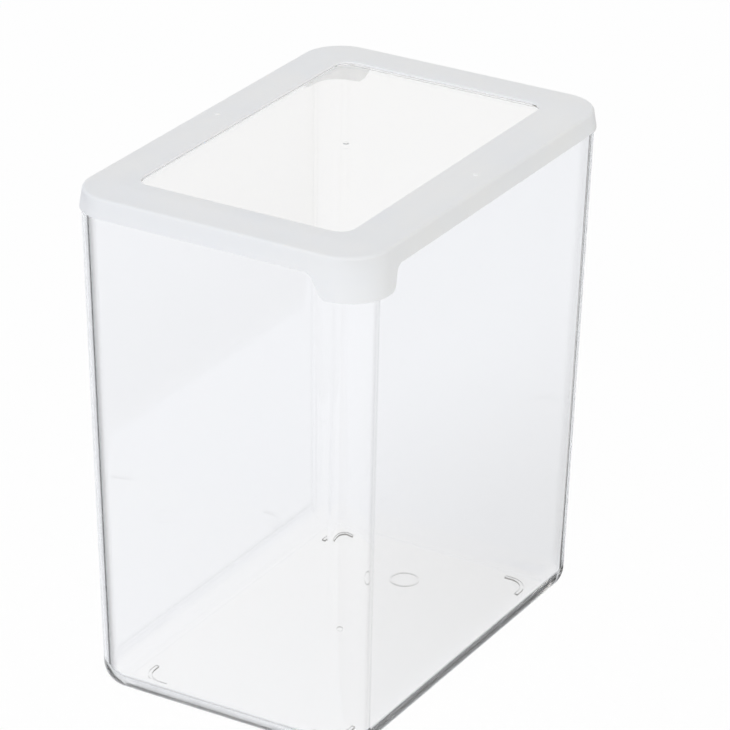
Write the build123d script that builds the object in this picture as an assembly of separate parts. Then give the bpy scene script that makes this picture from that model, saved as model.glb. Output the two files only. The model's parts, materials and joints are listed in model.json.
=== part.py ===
from build123d import *
from math import atan2, degrees
import os

# Airtight storage container: a clear rigid box with a lid that lifts off.
# The lid is a clear pane in a soft white frame, with a sealing ring inside.
# Millimetres. Z is up, X is the short side, Y the long side, and z = 0 is
# the surface that the container stands on.

# Body
floor_x = 126.65            # outside of the walls, carried down to the floor
floor_y = 189.15
wall_draft = 4.82           # how far each wall leans out from floor to rim
wall = 2.4
floor_wall = 3.3
body_height = 223.1         # underside of the floor to the top of the rim
body_corner = 14.0          # corner radius of the walls, outside
bottom_blend = 10.5         # rounding between walls and floor, outside
inner_blend = 8.4           # the same, inside
rim_chamfer = 0.4
rim_step = 0.9              # set-back of the rim, where the lid's skirt goes over it
step_gap = 0.5              # between the skirt's lower edge and the ledge under it

# Stacking feet under the floor, one at each corner
foot_height = 0.8
foot_width = 1.5
foot_leg = 12.5             # from the corner of the feet's outline to a leg's end
foot_play = 0.3             # between the feet and the lid below them in a stack

# Marks that moulding leaves under the floor
gate_mark_d = 4.0
gate_mark_depth = 0.4
ring_mark_d = 13.0
ring_mark_width = 0.7
ring_mark_height = 0.25
ring_mark_y = 53.0

# Lid frame
frame_plate = 1.6           # thickness over the rim, at the outer edge
frame_crown = 1.2           # how far the top rises from its outer edge
crown_width = 14.0          # width of the slope that it rises over
frame_overhang = 0.6        # how far the lid's top stands out past the walls
lid_corner = 17.2           # corner radius of the lid, outside
edge_round = 1.2            # rounding of the lid's top edge
skirt_drop = 8.3            # outer edge of the top to the skirt's lower edge
skirt_flare = 1.0           # how far the skirt leans out over its drop
skirt_play = 0.3            # between the skirt and the body
window_border = 19.9        # edge of the lid's top to the window
window_corner = 7.0
window_edge_round = 0.35

# Pull tabs on two opposite corners of the frame. Their reaches are counted
# from the corner of the skirt to the tab's end, at its root and at its tip.
tab_drop = 9.6              # below the skirt's lower edge
short_side_reach = (24.6, 18.9)
long_side_reach = (25.2, 21.2)
tab_root_round = 4.0
tab_tip_round = 3.0

# Window and its plug wall
window_recess = 0.8         # of the pane, below the frame's top
window_plate = 3.0
mould_fit = 0.05            # between the pane and the frame moulded round it
plug_gap = 2.9              # between the plug wall and the body's wall
plug_wall = 1.6
plug_depth = 9.8            # top of the lid to the lower edge of the plug wall
bead = 0.9                  # stands out of the plug wall and holds the seal
bead_height = 1.1

# Seal
seal_fit = 0.1
seal_clearance = 0.3        # between the lips and the body's wall
seal_band = 1.3
seal_height = 5.0
lip_height = 0.9

# Small nubs left by the moulding gates on top of the lid
gate_nub_d = 2.4
gate_nub_height = 0.3
gate_nub_x = 61.0
pane_gate_y = 1.2


base_z = foot_height
rim_z = base_z + body_height
edge_z = rim_z + frame_plate
lid_z = edge_z + frame_crown
skirt_z = edge_z - skirt_drop
tip_z = skirt_z - tab_drop
rim_x = floor_x + 2 * wall_draft
rim_y = floor_y + 2 * wall_draft


def rounded(size_x, size_y, radius, z):
    """A level rounded rectangle about the Z axis."""
    return Plane.XY.offset(z) * RectangleRounded(size_x, size_y, radius)


def prism(size_x, size_y, radius, low, high):
    """A straight-walled block on a rounded rectangle, from low to high."""
    return extrude(rounded(size_x, size_y, radius, low), high - low)


def draft_at(z):
    """How far the body's wall has leaned out at height z."""
    return wall_draft * (z - base_z) / body_height


def body_block(inset, low, bottom_round):
    """The body's drafted form from low up to the rim, set in by inset, with
    its bottom edge rounded."""
    lean = draft_at(low)
    base = Rectangle(floor_x + 2 * lean - 2 * inset, floor_y + 2 * lean - 2 * inset)
    block = extrude(Plane.XY.offset(low) * base, rim_z - low)
    walls = block.faces().filter_by(Axis.Z, reverse=True)
    block = draft(walls, Plane.XY.offset(low), -degrees(atan2(wall_draft, body_height)))
    block = fillet(block.edges().filter_by(Plane.XY, reverse=True), body_corner - inset)
    return fillet(edges_at(block, low), bottom_round)


def edges_at(part, z):
    """Edges of a part that lie level at height z."""
    return part.edges().filter_by_position(Axis.Z, z - 0.001, z + 0.001)


def ring_on_centre(outside, inside, low, high, y):
    """A short upright tube, or a disc where inside is 0."""
    tube = Cylinder(outside / 2, high - low)
    if inside > 0:
        tube -= Cylinder(inside / 2, high - low)
    return Pos(0, y, (low + high) / 2) * tube


def stacking_feet():
    """Four L-shaped feet that fit inside the window recess of a lid below."""
    size_x = window_x() - 2 * foot_play
    size_y = window_y() - 2 * foot_play
    radius = window_corner - foot_play
    outer = prism(size_x, size_y, radius, 0, base_z)
    inner = prism(size_x - 2 * foot_width, size_y - 2 * foot_width, radius - foot_width, 0, base_z)
    ring = outer - inner
    between_x = Pos(0, 0, base_z / 2) * Box(size_x - 2 * foot_leg, 2 * size_y, 2 * base_z)
    between_y = Pos(0, 0, base_z / 2) * Box(2 * size_x, size_y - 2 * foot_leg, 2 * base_z)
    return ring - between_x - between_y


def window_x():
    """Width of the window in the frame."""
    return rim_x + 2 * frame_overhang - 2 * window_border


def window_y():
    """Length of the window in the frame."""
    return rim_y + 2 * frame_overhang - 2 * window_border


def container_body():
    """The clear box: drafted walls, blended floor, rim and stacking feet."""
    outside = body_block(0, base_z, bottom_blend)
    inside = body_block(wall, base_z + floor_wall, inner_blend)
    step_z = skirt_z - step_gap
    outside -= prism(2 * rim_x, 2 * rim_y, body_corner, step_z, rim_z) - rim_block(0, step_z)
    body = chamfer(edges_at(outside - inside, rim_z), rim_chamfer)
    body -= ring_on_centre(gate_mark_d, 0, base_z, base_z + gate_mark_depth, 0)
    ring_inside = ring_mark_d - 2 * ring_mark_width
    body += ring_on_centre(ring_mark_d, ring_inside, base_z - ring_mark_height, base_z, ring_mark_y)
    return body + stacking_feet()


def rim_block(play, low):
    """What stands inside the skirt: the set-back rim, with play round it."""
    out = 2 * play - 2 * rim_step
    return prism(rim_x + out, rim_y + out, body_corner + play, low, rim_z)


def frame_block():
    """The lid's outer form, from its top to the tabs' tips."""
    size_x = rim_x + 2 * frame_overhang
    size_y = rim_y + 2 * frame_overhang
    tip_lean = skirt_flare * (edge_z - tip_z) / skirt_drop
    sections = []
    for z, lean in ((tip_z, tip_lean), (edge_z, 0), (lid_z, -crown_width)):
        sections.append(rounded(size_x + 2 * lean, size_y + 2 * lean, lid_corner + lean, z))
    return loft(sections, ruled=True)


def skirt_trim(half_size, reach):
    """Side view of what is cut off below a wall of the skirt, up to the tab
    that stays at the wall's right end."""
    far = 2 * half_size
    corner = half_size + skirt_flare
    root = (corner - reach[0], skirt_z)
    tip = (corner - reach[1], tip_z)
    low = tip_z - tab_drop
    side = make_face(Polyline((-far, low), (-far, skirt_z), root, tip, (far, tip_z), (far, low), close=True))
    side = fillet(side.vertices().sort_by_distance((*root, 0))[0], tab_root_round)
    return fillet(side.vertices().sort_by_distance((*tip, 0))[0], tab_tip_round)


def lid_frame():
    """The soft white frame: plate, skirt and two pull tabs."""
    outside = frame_block()
    outside = fillet(edges_at(outside, edge_z), edge_round)
    size_x = rim_x + 2 * skirt_play
    size_y = rim_y + 2 * skirt_play
    behind_tabs = prism(size_x, size_y, body_corner + skirt_play, tip_z, skirt_z)
    shell = outside - rim_block(skirt_play, tip_z) - behind_tabs
    shell -= prism(window_x(), window_y(), window_corner, rim_z, lid_z)
    shell = fillet(edges_at(shell, lid_z).sort_by(SortBy.DISTANCE)[0:8], window_edge_round)
    short_side = skirt_trim(rim_x / 2 + frame_overhang, short_side_reach)
    long_side = skirt_trim(rim_y / 2 + frame_overhang, long_side_reach)
    front = extrude(Plane.XZ * short_side, rim_y)
    right = extrude(Plane.YZ * mirror(long_side, Plane.YZ), rim_x)
    for trim in (front, right):
        shell = shell - trim - Rot(0, 0, 180) * trim
    gate_z = edge_z + (rim_x / 2 + frame_overhang - gate_nub_x) * frame_crown / crown_width
    for x in (-gate_nub_x, gate_nub_x):
        shell += Pos(x, 0, gate_z) * Cylinder(gate_nub_d / 2, 2 * gate_nub_height)
    return shell


def plug_size():
    """Outside of the plug wall: width, length and corner radius."""
    lean = draft_at(rim_z)
    size_x = floor_x + 2 * lean - 2 * wall - 2 * plug_gap
    size_y = floor_y + 2 * lean - 2 * wall - 2 * plug_gap
    return size_x, size_y, body_corner - wall - plug_gap


def lid_window():
    """The clear insert: pane, border under the frame, plug wall and bead."""
    size_x, size_y, radius = plug_size()
    pane_z = lid_z - window_recess
    under_z = pane_z - window_plate
    plug_z = lid_z - plug_depth
    bead_z = rim_z - 2 * seal_fit - seal_height
    insert = prism(size_x, size_y, radius, plug_z, rim_z - mould_fit)
    hollow_x = size_x - 2 * plug_wall
    hollow_y = size_y - 2 * plug_wall
    insert -= prism(hollow_x, hollow_y, radius - plug_wall, plug_z, under_z)
    pane_x = window_x() - 2 * mould_fit
    pane_y = window_y() - 2 * mould_fit
    insert += prism(pane_x, pane_y, window_corner - mould_fit, under_z, pane_z)
    collar = prism(size_x + 2 * bead, size_y + 2 * bead, radius + bead, bead_z - bead_height, bead_z)
    collar -= prism(size_x, size_y, radius, bead_z - bead_height, bead_z)
    insert += collar
    nub_z = pane_z + gate_nub_height / 2
    return insert + Pos(0, pane_gate_y, nub_z) * Cylinder(gate_nub_d / 2, gate_nub_height)


def lid_seal():
    """The soft ring around the plug wall, with two lips towards the body."""
    size_x, size_y, radius = plug_size()
    high = rim_z - seal_fit
    low = high - seal_height
    band = seal_fit + seal_band
    reach = plug_gap - seal_clearance
    ring = prism(size_x + 2 * band, size_y + 2 * band, radius + band, low, high)
    for lip_z in (low, high - lip_height):
        lean = draft_at(rim_z) - draft_at(lip_z)
        lip = reach - lean
        ring += prism(size_x + 2 * lip, size_y + 2 * lip, radius + lip, lip_z, lip_z + lip_height)
    bore = prism(size_x + 2 * seal_fit, size_y + 2 * seal_fit, radius + seal_fit, low, high)
    return ring - bore


os.makedirs("parts", exist_ok=True)
export_step(container_body(), "parts/container_body.step")
export_step(lid_window(), "parts/lid_window.step")
export_step(lid_frame(), "parts/lid_frame.step")
export_step(lid_seal(), "parts/lid_seal.step")
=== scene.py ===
import json
import math

import bmesh
import bpy
from mathutils import Matrix, Vector

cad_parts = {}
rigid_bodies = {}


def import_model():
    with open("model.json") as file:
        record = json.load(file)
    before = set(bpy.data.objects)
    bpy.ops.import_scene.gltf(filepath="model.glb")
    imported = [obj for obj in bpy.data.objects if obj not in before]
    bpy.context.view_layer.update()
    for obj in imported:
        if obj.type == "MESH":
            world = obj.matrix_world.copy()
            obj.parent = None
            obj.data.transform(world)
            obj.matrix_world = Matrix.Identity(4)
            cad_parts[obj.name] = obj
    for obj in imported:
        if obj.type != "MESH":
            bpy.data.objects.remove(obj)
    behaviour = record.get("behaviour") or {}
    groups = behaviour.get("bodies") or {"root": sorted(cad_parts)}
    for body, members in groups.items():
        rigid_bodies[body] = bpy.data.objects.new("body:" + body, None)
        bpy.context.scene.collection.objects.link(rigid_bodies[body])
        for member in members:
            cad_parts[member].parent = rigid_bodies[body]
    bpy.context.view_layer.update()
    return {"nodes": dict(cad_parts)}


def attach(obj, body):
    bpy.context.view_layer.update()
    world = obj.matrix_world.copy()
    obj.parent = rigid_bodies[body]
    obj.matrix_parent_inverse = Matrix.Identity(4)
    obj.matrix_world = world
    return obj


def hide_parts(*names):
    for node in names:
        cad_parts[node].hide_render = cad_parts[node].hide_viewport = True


MM = 0.001

# Sizes of the body in millimetres, as in the CAD model
FLOOR = (126.65, 189.15)    # outside of the walls, carried down to the floor
DRAFT = 4.82                # how far each wall leans out up to the rim
WALL = 2.4
FLOOR_WALL = 3.3
BASE_Z, RIM_Z = 0.8, 223.9
BODY_CORNER = 14.0
BOTTOM_BLEND = 10.5         # rounding between walls and floor, outside
INNER_BLEND = 8.4           # the same, inside
RIM_STEP = 0.9              # set-back of the rim, where the lid's skirt goes over it
LEDGE_GAP = 0.5             # between the skirt's lower edge and the ledge under it
RIM_ROUND, LEDGE_ROUND = 0.4, 0.25
GROOVE, GROOVE_DEPTH = 0.3, 0.02    # fine lines where the core's parts meet

# Feet and moulding marks under the floor
FOOT_PLAY = 0.6             # between the feet and the window, both sides together
FOOT_WIDTH = 1.5
FOOT_LEG = 12.5
FOOT_CORNER = 9.5
SUNK = 0.6                  # how deep the feet reach into the floor
RING_RADIUS, RING_BORE_RADIUS, RING_HEIGHT, RING_Y = 6.5, 5.8, 0.25, 53.0
GATE_MARK_RADIUS, GATE_MARK_DEPTH = 2.0, 0.4

# Frame of the lid
EDGE_Z, LID_Z = 225.5, 226.7
SKIRT_Z, TIP_Z = 217.2, 207.6
LID = (137.49, 199.99)
LID_OVER = 1.2              # how much wider the lid's top is than the rim's walls
LID_LOW_CORNER = 18.0       # corner radius at the tabs' tips
CROWN_WIDTH = 14.0
EDGE_ROUND, CROWN_ROUND = 1.15, 1.5
SKIRT_LEAN = 0.99 / 8.3     # lean per millimetre of height
SKIRT_PLAY = 0.3
TAB_ROOT_ROUND, TAB_TIP_ROUND = 2.6, 2.2
SHORT_SIDE_REACH, LONG_SIDE_REACH = (24.6, 18.9), (25.2, 21.2)
NUB_RADIUS, NUB_HEIGHT, NUB_ROUND = 1.1, 0.25, 0.12    # left by the gates, at +-GATE_X
GATE_X = 61.0

# Window, plug wall and bead
WINDOW = (97.69, 160.19)
WINDOW_CORNER = 7.0
WINDOW_EDGE = 0.3
MOULD_FIT = 0.05
PANE_Z = LID_Z - 0.8
UNDER_Z = PANE_Z - 3.0
PANE_LIP, PANE_LIP_OUT = 0.2, 0.35
PANE_NUB_RADIUS, PANE_NUB_Y, PANE_NUB_HEIGHT = 1.2, 1.2, 0.3
PLUG = (125.69, 188.19)
PLUG_CORNER = 8.7
PLUG_WALL = 1.6
PLUG_Z = LID_Z - 9.8
BEAD = 0.9
BEAD_LOW, BEAD_HIGH = RIM_Z - 6.3, RIM_Z - 5.2

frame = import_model()


# Modelling

def pick(kind, test):
    """In edit mode, selects the vertices, edges or faces that pass a test."""
    mesh = bmesh.from_edit_mesh(bpy.context.object.data)
    bpy.ops.mesh.select_mode(type=kind)
    bpy.ops.mesh.select_all(action="DESELECT")
    for item in {"VERT": mesh.verts, "EDGE": mesh.edges, "FACE": mesh.faces}[kind]:
        item.select_set(test(item))
    mesh.select_flush_mode()
    bmesh.update_edit_mesh(bpy.context.object.data)


def level(z, slack=0.002):
    """Test for faces and edges that lie level at height z."""
    return lambda item: all(abs(v.co.z - z * MM) < slack * MM for v in item.verts)


def upright(edge):
    """Test for edges that stand upright, or lean a little."""
    a, b = (v.co for v in edge.verts)
    return abs(a.z - b.z) > 0.9 * (a - b).length


def move(x=0, y=0, z=0):
    """Moves what is selected."""
    bpy.ops.transform.translate(value=(x * MM, y * MM, z * MM))


def spread(z, out):
    """Moves what lies at height z out from the centre, the same way in x and y."""
    for axis in (0, 1):
        for side in (-1, 1):
            pick("VERT", lambda v: abs(v.co.z - z * MM) < 0.002 * MM and v.co[axis] * side > 0)
            move(**{"xy"[axis]: side * out})


def round_off(radius, segments):
    """Rounds the selected edges."""
    bpy.ops.mesh.bevel(offset=radius * MM, segments=segments, affect="EDGES",
                       clamp_overlap=False)


def round_level(z, radius, segments):
    """Rounds the edges that lie level at height z."""
    pick("EDGE", level(z))
    round_off(radius, segments)


def block(name, size, low, high, corner, segments, top_out=0):
    """A block from low to high with rounded upright edges, left in edit mode."""
    bpy.ops.object.select_all(action="DESELECT")
    bpy.ops.mesh.primitive_cube_add(size=1)
    bpy.context.object.name = name
    bpy.ops.object.mode_set(mode="EDIT")
    bpy.ops.transform.resize(value=(size[0] * MM, size[1] * MM, (high - low) * MM))
    move(z=(high + low) / 2)
    if top_out:
        spread(high, top_out)
    pick("EDGE", upright)
    round_off(corner, segments)
    return bpy.context.object


def close_up():
    """Back to object mode, with faces pointing outwards."""
    bpy.ops.mesh.select_all(action="SELECT")
    bpy.ops.mesh.normals_make_consistent(inside=False)
    bpy.ops.object.mode_set(mode="OBJECT")
    return bpy.context.object


def solid(*args):
    """A block as it stands, in object mode."""
    block(*args)
    return close_up()


def step(z, inset, to):
    """Insets the level face at height z and extrudes what is left to another height."""
    pick("FACE", level(z))
    if inset:
        bpy.ops.mesh.inset(thickness=inset * MM, depth=0)
    if to != z:
        bpy.ops.mesh.extrude_region_move(TRANSFORM_OT_translate={"value": (0, 0, (to - z) * MM)})


def scribe(z, slack):
    """A fine groove along a loop of edges, where two parts of the mould's core meet."""
    pick("EDGE", level(z, slack))
    round_off(GROOVE / 2, 2)
    bpy.ops.mesh.select_mode(type="VERT")
    bpy.ops.mesh.select_less()
    bpy.ops.transform.shrink_fatten(value=-GROOVE_DEPTH * MM)


def disc(name, radius, y, low, high):
    """A round upright solid on the long axis of the object."""
    bpy.ops.object.select_all(action="DESELECT")
    bpy.ops.mesh.primitive_cylinder_add(vertices=40, radius=radius * MM, depth=(high - low) * MM)
    bpy.context.object.name = name
    bpy.ops.object.mode_set(mode="EDIT")
    move(y=y, z=(high + low) / 2)
    return close_up()


def polygon(name, points, rounds, plane, depth, start):
    """A flat polygon in the XZ or YZ plane, with some corners rounded, pulled
    out to a depth along the third axis. Left in object mode."""
    def place(across, z):
        return Vector((across, start, z) if plane == "XZ" else (start, across, z)) * MM

    bpy.ops.object.select_all(action="DESELECT")
    bpy.ops.mesh.primitive_circle_add(vertices=len(points), radius=1, fill_type="NGON")
    bpy.context.object.name = name
    bpy.ops.object.mode_set(mode="EDIT")
    for i, point in enumerate(points):
        mesh = bmesh.from_edit_mesh(bpy.context.object.data)
        mesh.verts.ensure_lookup_table()
        shift = place(*point) - mesh.verts[i].co
        pick("VERT", lambda v: v.index == i)
        bpy.ops.transform.translate(value=shift)
    for i, radius in rounds:
        corner = place(*points[i])
        pick("VERT", lambda v: (v.co - corner).length < 0.001 * MM)
        bpy.ops.mesh.bevel(offset=radius * MM, segments=6, affect="VERTICES",
                           clamp_overlap=False)
    bpy.ops.mesh.select_all(action="SELECT")
    pull = (0, depth * MM, 0) if plane == "XZ" else (depth * MM, 0, 0)
    bpy.ops.mesh.extrude_region_move(TRANSFORM_OT_translate={"value": pull})
    return close_up()


def select_only(obj):
    bpy.ops.object.select_all(action="DESELECT")
    obj.select_set(True)
    bpy.context.view_layer.objects.active = obj


def turned(obj):
    """A copy of an object with its own mesh, turned half round about Z."""
    select_only(obj)
    bpy.ops.object.duplicate()
    bpy.ops.transform.rotate(value=math.pi, orient_axis="Z", center_override=(0, 0, 0))
    bpy.ops.object.transform_apply()
    return bpy.context.object


def apply_all(obj):
    """Applies every modifier of an object."""
    select_only(obj)
    for modifier in list(obj.modifiers):
        bpy.ops.object.modifier_apply(modifier=modifier.name)


def combine(obj, others, operation):
    """Adds other solids to a piece or cuts them out of it, and uses them up."""
    for other in others:
        modifier = obj.modifiers.new("combine", "BOOLEAN")
        modifier.object, modifier.operation, modifier.solver = other, operation, "EXACT"
        apply_all(obj)
        bpy.data.objects.remove(other)


def grown(size, by):
    """A size in x and y, larger by a length in both."""
    return size[0] + by, size[1] + by


def finish_piece(obj, node, body):
    """Smooth shading with true flats, and the piece's place in the frame."""
    apply_all(obj)
    bpy.ops.object.shade_smooth_by_angle(angle=math.radians(30))
    modifier = obj.modifiers.new("flats", "WEIGHTED_NORMAL")
    modifier.keep_sharp = True
    apply_all(obj)
    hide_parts(node)
    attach(obj, body)


def make_feet():
    """Four L-shaped feet, which fit inside the window recess of a lid below."""
    outside = grown(WINDOW, -FOOT_PLAY)
    inside = grown(outside, -2 * FOOT_WIDTH)
    between = grown(outside, -2 * FOOT_LEG)
    feet = solid("feet", outside, 0, BASE_Z + SUNK, FOOT_CORNER, 12)
    cuts = [
        solid("inside_feet", inside, -1, 3, FOOT_CORNER - FOOT_WIDTH, 12),
        solid("gap_x", (between[0], 2 * outside[1]), -1, 3, 1, 2),
        solid("gap_y", (2 * outside[0], between[1]), -1, 3, 1, 2),
    ]
    combine(feet, cuts, "DIFFERENCE")
    return feet


def make_moulding_ring():
    """The raised ring that the mould's ejector leaves under the floor."""
    ring = disc("moulding_ring", RING_RADIUS, RING_Y, BASE_Z - RING_HEIGHT, BASE_Z + 0.3)
    bore = disc("bore", RING_BORE_RADIUS, RING_Y, BASE_Z - 1, BASE_Z + 1)
    combine(ring, [bore], "DIFFERENCE")
    return ring


def make_body():
    """The clear box: walls, rim set back under the lid, blended floor and feet."""
    per_mm = DRAFT / (RIM_Z - BASE_Z)
    ledge = SKIRT_Z - LEDGE_GAP
    inner = BASE_Z + FLOOR_WALL
    obj = block("clear_box", FLOOR, BASE_Z, ledge, BODY_CORNER, 28, per_mm * (ledge - BASE_Z))
    round_level(BASE_Z, BOTTOM_BLEND, 14)
    step(ledge, RIM_STEP - per_mm * (RIM_Z - ledge), RIM_Z)
    step(RIM_Z, WALL - RIM_STEP, inner)
    spread(inner, -per_mm * (RIM_Z - inner))
    round_level(inner, INNER_BLEND, 14)
    scribe(inner, 0.002)
    scribe(inner + INNER_BLEND, 0.05)
    round_level(RIM_Z, RIM_ROUND, 3)
    round_level(ledge, LEDGE_ROUND, 2)
    close_up()
    combine(obj, [make_feet(), make_moulding_ring()], "UNION")
    mark = disc("gate_mark", GATE_MARK_RADIUS, 0, BASE_Z - 0.5, BASE_Z + GATE_MARK_DEPTH)
    combine(obj, [mark], "DIFFERENCE")
    return obj


def make_pane():
    """The clear insert: bead, plug wall, border under the frame, and pane."""
    obj = block("clear_insert", grown(PLUG, 2 * BEAD), BEAD_LOW, BEAD_HIGH, PLUG_CORNER + BEAD, 16)
    step(BEAD_HIGH, BEAD, RIM_Z - MOULD_FIT)
    step(BEAD_LOW, BEAD, PLUG_Z)
    step(PLUG_Z, PLUG_WALL, UNDER_Z)
    round_level(PLUG_Z, 0.3, 3)
    round_level(UNDER_Z, 0.8, 4)
    close_up()
    lip_z = PANE_Z - PANE_LIP
    pane = block("pane", grown(WINDOW, -2 * MOULD_FIT), UNDER_Z + 0.4, lip_z,
                 WINDOW_CORNER - MOULD_FIT, 12)
    step(lip_z, 0, PANE_Z)
    spread(PANE_Z, PANE_LIP_OUT)
    close_up()
    nub = disc("pane_gate", PANE_NUB_RADIUS, PANE_NUB_Y, PANE_Z - 0.5, PANE_Z + PANE_NUB_HEIGHT)
    combine(obj, [pane, nub], "UNION")
    return obj


def window_cutter():
    """What is cut out of the frame for the window, with the edge's rounding on top."""
    past = LID_Z + 0.02
    block("window", WINDOW, RIM_Z - 3, LID_Z - WINDOW_EDGE, WINDOW_CORNER, 12)
    step(LID_Z - WINDOW_EDGE, 0, past)
    spread(past, WINDOW_EDGE + 0.02)
    step(past, 0, LID_Z + 5)
    return close_up()


def skirt_trims():
    """What is cut off below the skirt's four walls, up to the tab at one end of each."""
    trims = []
    far = 150
    for plane, half, reach, side in (("XZ", LID[0] / 2 + 1, SHORT_SIDE_REACH, 1),
                                     ("YZ", LID[1] / 2 + 1, LONG_SIDE_REACH, -1)):
        low = TIP_Z - 9
        points = (
            (-2 * half, low),
            (-2 * half, SKIRT_Z),
            (half - reach[0], SKIRT_Z),
            (half - reach[1], TIP_Z),
            (2 * half, TIP_Z),
            (2 * half, low),
        )
        points = [(side * across, z) for across, z in points]
        rounds = ((2, TAB_ROOT_ROUND), (3, TAB_TIP_ROUND))
        trim = polygon("trim", points, rounds, plane, side * far, -side * far)
        trims += [trim, turned(trim)]
    return trims


def gate_nubs():
    """The two nubs that the gates leave on the crown's slopes."""
    low = EDGE_Z + (LID_Z - EDGE_Z) * (LID[0] / 2 - GATE_X) / CROWN_WIDTH
    high = low + NUB_HEIGHT
    nub = disc("frame_gate", NUB_RADIUS, 0, low - 0.5, high)
    bpy.ops.object.mode_set(mode="EDIT")
    bpy.ops.mesh.select_all(action="SELECT")
    move(x=GATE_X)
    round_level(high, NUB_ROUND, 2)
    close_up()
    return [nub, turned(nub)]


def make_frame():
    """The soft frame: crowned top, rounded edges, skirt and two pull tabs."""
    lean = SKIRT_LEAN * (EDGE_Z - TIP_Z)
    obj = block("soft_frame", grown(LID, 2 * lean), TIP_Z, EDGE_Z, LID_LOW_CORNER, 28, -lean)
    pick("FACE", level(EDGE_Z))
    bpy.ops.mesh.inset(thickness=CROWN_WIDTH * MM, depth=0)
    move(z=LID_Z - EDGE_Z)
    round_level(EDGE_Z, EDGE_ROUND, 6)
    round_level(LID_Z, CROWN_ROUND, 3)
    close_up()
    rim = grown(LID, -LID_OVER)
    corner = BODY_CORNER + SKIRT_PLAY
    inside = grown(rim, 2 * (SKIRT_PLAY - RIM_STEP))
    cuts = [
        solid("hollow", inside, TIP_Z - 5, RIM_Z, corner, 20),
        solid("behind_tabs", grown(rim, 2 * SKIRT_PLAY), TIP_Z - 6, SKIRT_Z, corner, 20),
        window_cutter(),
    ]
    combine(obj, cuts + skirt_trims(), "DIFFERENCE")
    combine(obj, gate_nubs(), "UNION")
    return obj


# Materials

def colour(hex_text):
    """An sRGB hex colour as linear RGBA."""
    parts = [int(hex_text[i:i + 2], 16) / 255 for i in (0, 2, 4)]
    linear = [c / 12.92 if c <= 0.04045 else ((c + 0.055) / 1.055) ** 2.4 for c in parts]
    return (*linear, 1.0)


def add(tree, kind, links=(), **settings):
    """Adds a node of a kind, sets its sockets and properties, and links its inputs."""
    node = tree.nodes.new(kind)
    for name, value in settings.items():
        label = name.replace("_", " ")
        if label in node.inputs:
            node.inputs[label].default_value = value
        else:
            setattr(node, name, value)
    for name, source in links:
        tree.links.new(source, node.inputs[name])
    return node


def new_material(name):
    """An empty material: itself, its node tree and its output node."""
    material = bpy.data.materials.new(name)
    material.use_nodes = True
    tree = material.node_tree
    tree.nodes.clear()
    return material, tree, tree.nodes.new("ShaderNodeOutputMaterial")


def ranged(node, limits):
    """Sets a Map Range node's limits: from low to high, to low to high."""
    for name, value in zip(("From Min", "From Max", "To Min", "To Max"), limits):
        node.inputs[name].default_value = value
    return node.outputs[0]


def noise(tree, scale, detail=2.0):
    """Noise in the piece's own coordinates, with features of about 1 / scale metres."""
    place = add(tree, "ShaderNodeTexCoord").outputs["Object"]
    node = add(tree, "ShaderNodeTexNoise", [("Vector", place)], Scale=scale, Detail=detail)
    return node.outputs["Fac"]


def spread_to(tree, source, low, high):
    """Stretches noise so that it goes from low to high."""
    return ranged(add(tree, "ShaderNodeMapRange", [("Value", source)]), (0.35, 0.65, low, high))


def bump(tree, source, depth):
    """Relief of a depth in millimetres."""
    node = add(tree, "ShaderNodeBump", [("Height", source)], Distance=depth * MM, Strength=1.0)
    return node.outputs[0]


def blend(tree, source, low, high):
    """A colour that goes from one hex colour to another with its source."""
    node = add(tree, "ShaderNodeMix", [("Factor", source)], data_type="RGBA")
    node.inputs[6].default_value = colour(low)
    node.inputs[7].default_value = colour(high)
    return node.outputs[2]


def clear_plastic(name):
    """Clear styrene copolymer, injection moulded in a polished tool. Faint flow
    waves from the melt, and light handling scuffs that dull the gloss a little."""
    material, tree, out = new_material(name)
    waves = bump(tree, noise(tree, 18, 1.0), 0.02)
    gloss = spread_to(tree, noise(tree, 140, 4.0), 0.0, 0.012)
    shader = add(tree, "ShaderNodeBsdfPrincipled", [("Normal", waves), ("Roughness", gloss)],
                 Base_Color=(1, 1, 1, 1), IOR=1.56, Transmission_Weight=0.98)
    tree.links.new(shader.outputs[0], out.inputs["Surface"])
    volume = add(tree, "ShaderNodeVolumeAbsorption", Color=(0.6, 0.62, 0.72, 1), Density=3.0)
    tree.links.new(volume.outputs[0], out.inputs["Volume"])
    return material


def foot_side_shade_plastic():
    """The clear plastic on the feet's upright sides, with a rough gloss and a dark, nearly opaque
    base colour that is painted shade for the shade those sides lie in.
    """
    material, tree, out = new_material("foot_side_painted_shade")
    dull = spread_to(tree, noise(tree, 900, 3.0), 0.35, 0.6)
    shader = add(tree, "ShaderNodeBsdfPrincipled", [("Roughness", dull)],
                 Base_Color=colour("1d2124"), IOR=1.56, Transmission_Weight=0.1)
    tree.links.new(shader.outputs[0], out.inputs["Surface"])
    return material


def soft_white(name, tints, dull_range):
    """Soft white thermoplastic elastomer, moulded against a finely etched tool: a
    dull, slightly translucent skin with a fine even grain, and faint flow shading."""
    material, tree, out = new_material(name)
    grain = bump(tree, noise(tree, 2600, 3.0), 0.02)
    tint = blend(tree, spread_to(tree, noise(tree, 26, 2.0), 0.0, 1.0), *tints)
    dull = spread_to(tree, noise(tree, 300, 2.0), *dull_range)
    shader = add(tree, "ShaderNodeBsdfPrincipled",
                 [("Normal", grain), ("Base Color", tint), ("Roughness", dull)],
                 Subsurface_Weight=0.2, Subsurface_Scale=0.002,
                 Subsurface_Radius=(1.0, 0.95, 0.9))
    tree.links.new(shader.outputs[0], out.inputs["Surface"])
    return material


def on_foot_side(face):
    return 0 < face.center.z < BASE_Z * MM and abs(face.normal.z) < 0.5


def on_gate_nub(face):
    """The slope under a nub has its middle there too, and is far larger."""
    x, y, z = face.center
    near = math.hypot(abs(x) - GATE_X * MM, y) < 1.2 * MM
    return near and z > EDGE_Z * MM and face.area < 5 * MM ** 2


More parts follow.
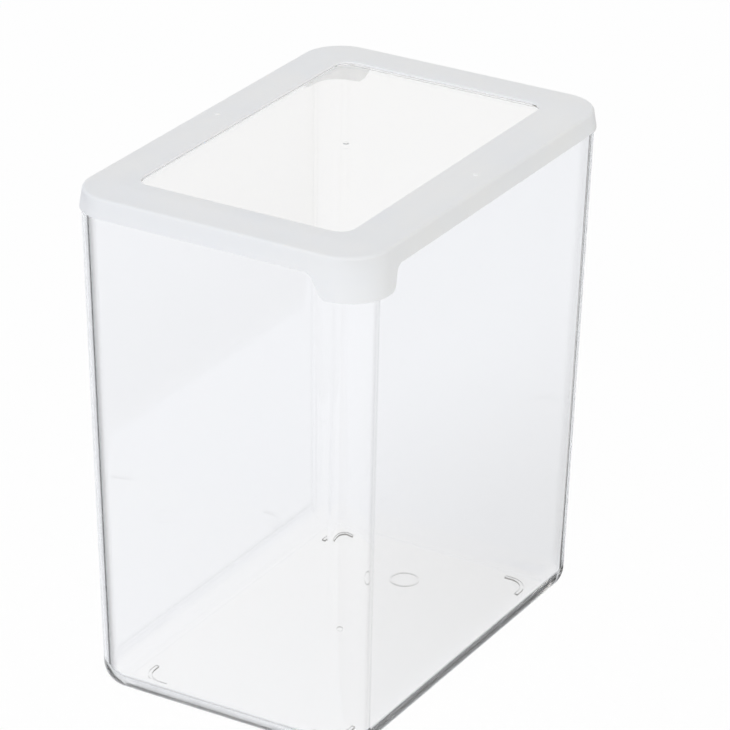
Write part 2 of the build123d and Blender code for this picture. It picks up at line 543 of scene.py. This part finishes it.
def dress(piece, material, other=None, test=None):
    """Gives a piece its material, and another one to the faces that pass a test."""
    piece.data.materials.clear()
    piece.data.materials.append(material)
    if other:
        piece.data.materials.append(other)
        for face in piece.data.polygons:
            face.material_index = int(test(face))


white = soft_white("soft_white_elastomer", ("f1f2f4", "f4f4f4"), (0.42, 0.5))
# Where a gate was cut off the frame, the skin is smoother, and its paler colour is a painted
# highlight for the glint the nub's top catches
gate_highlight = soft_white("gate_nub_painted_highlight", ("fdfdfd", "ffffff"), (0.15, 0.25))

box = make_body()
finish_piece(box, "container_body", "container")
# The feet's upright sides get the plastic with painted shade
dress(box, clear_plastic("clear_body_plastic"), foot_side_shade_plastic(), on_foot_side)
insert = make_pane()
finish_piece(insert, "lid_window", "lid")
dress(insert, clear_plastic("clear_pane_plastic"))
rim_frame = make_frame()
finish_piece(rim_frame, "lid_frame", "lid")
# The gate nubs' tops get the smoother skin with the painted highlight
dress(rim_frame, white, gate_highlight, on_gate_nub)
for material_slot in frame["nodes"]["lid_seal"].material_slots:
    material_slot.material = white


# Stage: a white floor and surround. The camera sees them at full white, the clear
# plastic transmits them a shade darker, and mirrored rays meet darker flags.

def ramp(tree, source, low, high, at_low, at_high):
    """A smooth change from one value to another as the source passes from low to high."""
    node = add(tree, "ShaderNodeMapRange", [("Value", source)], interpolation_type="SMOOTHSTEP")
    return ranged(node, (low, high, at_low, at_high))


def maths(tree, a, b, operation):
    return add(tree, "ShaderNodeMath", [(0, a), (1, b)], operation=operation).outputs[0]


def along(tree, source, direction):
    """How far a vector goes along a direction."""
    node = add(tree, "ShaderNodeVectorMath", [(0, source)], operation="DOT_PRODUCT")
    node.inputs[1].default_value = direction
    return node.outputs["Value"]


def mixed(tree, share, first, second):
    """Two shaders, with a share of the second that is a number or a socket."""
    node = add(tree, "ShaderNodeMixShader")
    if isinstance(share, float):
        node.inputs["Fac"].default_value = share
    else:
        tree.links.new(share, node.inputs["Fac"])
    tree.links.new(first.outputs[0], node.inputs[1])
    tree.links.new(second.outputs[0], node.inputs[2])
    return node


def seen_by(tree, direct, mirrored, other):
    """One shader for straight views, one for mirrored ones, and one for light."""
    path = add(tree, "ShaderNodeLightPath").outputs
    straight = maths(tree, path["Is Camera Ray"], path["Is Transmission Ray"], "MAXIMUM")
    bounced = add(tree, "ShaderNodeMath", [(0, path["Glossy Depth"])], operation="GREATER_THAN")
    bounced.inputs[1].default_value = 0.5
    return mixed(tree, bounced.outputs[0], mixed(tree, straight, other, direct), mirrored)


def open_white(tree):
    """Full white for the camera, and a shade less for what the clear plastic shows."""
    camera_ray = add(tree, "ShaderNodeLightPath").outputs["Is Camera Ray"]
    return camera_ray, blend(tree, camera_ray, "fafbfe", "ffffff")


def make_floor():
    """A white floor, with a soft shade to the right of the object in mirrored views."""
    bpy.ops.object.select_all(action="DESELECT")
    bpy.ops.mesh.primitive_plane_add(size=12)
    floor = bpy.context.object
    floor.name = "studio_floor"
    material, tree, out = new_material("studio_floor_white")
    place = add(tree, "ShaderNodeTexCoord").outputs["Object"]
    beside = add(tree, "ShaderNodeSeparateXYZ", [(0, place)]).outputs
    diffuse = add(tree, "ShaderNodeBsdfDiffuse", Color=(0.85, 0.85, 0.85, 1))

    # Straight views: full white for the camera, and a little dimmer through the
    # plastic around a spot behind the object's right side: a painted shadow of the object
    away = add(tree, "ShaderNodeVectorMath", [(0, place)], operation="DISTANCE")
    away.inputs[1].default_value = (0.11, 0.10, 0)
    camera_ray, tone = open_white(tree)
    dim = ramp(tree, away.outputs["Value"], 0.03, 0.30, 0.90, 1.0)
    dim = maths(tree, dim, camera_ray, "MAXIMUM")
    glow = add(tree, "ShaderNodeEmission", [("Strength", dim), ("Color", tone)])
    direct = mixed(tree, 0.97, diffuse, glow)

    # Mirrored views: clear, but for a strip of painted shade beside the right wall
    strip = ramp(tree, beside["X"], 0.070, 0.084, 0.0, 1.0)
    strip = maths(tree, strip, ramp(tree, beside["X"], 0.080, 0.24, 1.0, 0.0), "MULTIPLY")
    strip = maths(tree, strip, ramp(tree, beside["Y"], -0.05, 0.15, 0.45, 1.0), "MULTIPLY")
    clear = add(tree, "ShaderNodeBsdfTransparent")
    flag = mixed(tree, strip, clear, add(tree, "ShaderNodeEmission", Strength=0.6))

    lit = mixed(tree, 0.25, diffuse, add(tree, "ShaderNodeEmission", Strength=1.0))
    tree.links.new(seen_by(tree, direct, flag, lit).outputs[0], out.inputs["Surface"])
    floor.data.materials.append(material)


# Dark gaps of the mirrored surround: azimuth of the middle, the angles from it at
# which the gap is whole and gone, in degrees, and how dark it is
GAPS = ((81, 7, 16, 1.0), (195, 13, 30, 1.0), (40, 3, 10, 0.9), (52, 14, 60, 0.12))


def make_surround():
    """The world: plain soft light, and what straight and mirrored views meet."""
    world = bpy.data.worlds.new("studio")
    bpy.context.scene.world = world
    world.use_nodes = True
    tree = world.node_tree
    tree.nodes.clear()
    out = tree.nodes.new("ShaderNodeOutputWorld")
    toward = add(tree, "ShaderNodeTexCoord").outputs["Generated"]
    height = add(tree, "ShaderNodeSeparateXYZ", [(0, toward)]).outputs["Z"]
    around = add(tree, "ShaderNodeVectorMath", [(0, toward)], operation="MULTIPLY")
    around.inputs[1].default_value = (1, 1, 0)
    around = add(tree, "ShaderNodeVectorMath", [(0, around.outputs[0])], operation="NORMALIZE")

    # Mirrored views: gaps at the sides, but none from above or steeply from below
    sides = ramp(tree, height, -0.72, -0.52, 1.0, 0.97)
    for azimuth, inner, outer, depth in GAPS:
        angle, inner, outer = (math.radians(a) for a in (azimuth, inner, outer))
        middle = along(tree, around.outputs[0], (math.cos(angle), math.sin(angle), 0))
        gap = ramp(tree, middle, math.cos(outer), math.cos(inner), 1.0, 1.0 - depth)
        sides = maths(tree, sides, gap, "MULTIPLY")
    sides = maths(tree, sides, ramp(tree, height, -0.72, -0.52, 0.80, 0.0), "MAXIMUM")
    mirrored = maths(tree, sides, ramp(tree, height, 0.0, 0.3, 0.0, 0.99), "MAXIMUM")
    glint = blend(tree, ramp(tree, height, 0.0, 0.3, 0.0, 1.0), "f8fafd", "fffbf1")
    flag = add(tree, "ShaderNodeBackground", [("Strength", mirrored), ("Color", glint)])

    # Light: a soft key from the front above, a low one from the front, less from
    # behind and from straight above, and a warmer hue from the right
    key = ramp(tree, along(tree, toward, (0.22, -0.70, 0.68)), 0.2, 0.95, 0.0, 0.30)
    front = ramp(tree, along(tree, toward, (0.2, -0.96, 0.2)), 0.1, 0.95, 0.0, 0.19)
    rest = ramp(tree, along(tree, toward, (0.3, 0.9, -0.2)), -0.2, 0.8, 0.76, 0.66)
    strength = maths(tree, maths(tree, key, front, "ADD"), rest, "ADD")
    above = ramp(tree, height, 0.3, 1.0, 0.0, 0.125)
    strength = maths(tree, strength, above, "SUBTRACT")
    warm = ramp(tree, along(tree, toward, (0.9, 0.4, -0.15)), 0.0, 0.9, 0.0, 1.0)
    hue = blend(tree, warm, "f9fbff", "fffdf4")
    light = add(tree, "ShaderNodeBackground", [("Strength", strength), ("Color", hue)])

    direct = add(tree, "ShaderNodeBackground", [("Color", open_white(tree)[1])], Strength=1.0)
    tree.links.new(seen_by(tree, direct, flag, light).outputs[0], out.inputs["Surface"])


make_floor()
make_surround()
cycles = bpy.context.scene.cycles
cycles.max_bounces = 128
cycles.diffuse_bounces = 14
cycles.blur_glossy = 0.0
cycles.glossy_bounces = 110
cycles.transmission_bounces = 40
bpy.context.scene.view_settings.view_transform = "Standard"

# Camera, fitted to the photograph: angles in degrees, lengths in millimetres, and
# the focal length in pixels of a picture 730 pixels wide
CAMERA_ANGLES = (30.341, 25.105, 0.802)     # azimuth, elevation and roll
TARGET, DISTANCE = (6.72, 7.46, 125.8), 1717.78
FOCAL_PIXELS, PICTURE_PIXELS = 4128.16, 730

azimuth, elevation, roll = (math.radians(a) for a in CAMERA_ANGLES)
back = Vector((
    math.sin(azimuth) * math.cos(elevation),
    -math.cos(azimuth) * math.cos(elevation),
    math.sin(elevation),
))
across = Vector((math.cos(azimuth), math.sin(azimuth), 0))
up = back.cross(across)
right = across * math.cos(roll) + up * math.sin(roll)
top = up * math.cos(roll) - across * math.sin(roll)
lens = bpy.data.cameras.new("camera")
lens.sensor_width = 36
lens.lens = FOCAL_PIXELS / PICTURE_PIXELS * lens.sensor_width
camera = bpy.data.objects.new("camera", lens)
bpy.context.scene.collection.objects.link(camera)
place = Matrix((right, top, back)).transposed().to_4x4()
place.translation = (Vector(TARGET) + back * DISTANCE) * MM
camera.matrix_world = place
bpy.context.scene.camera = camera
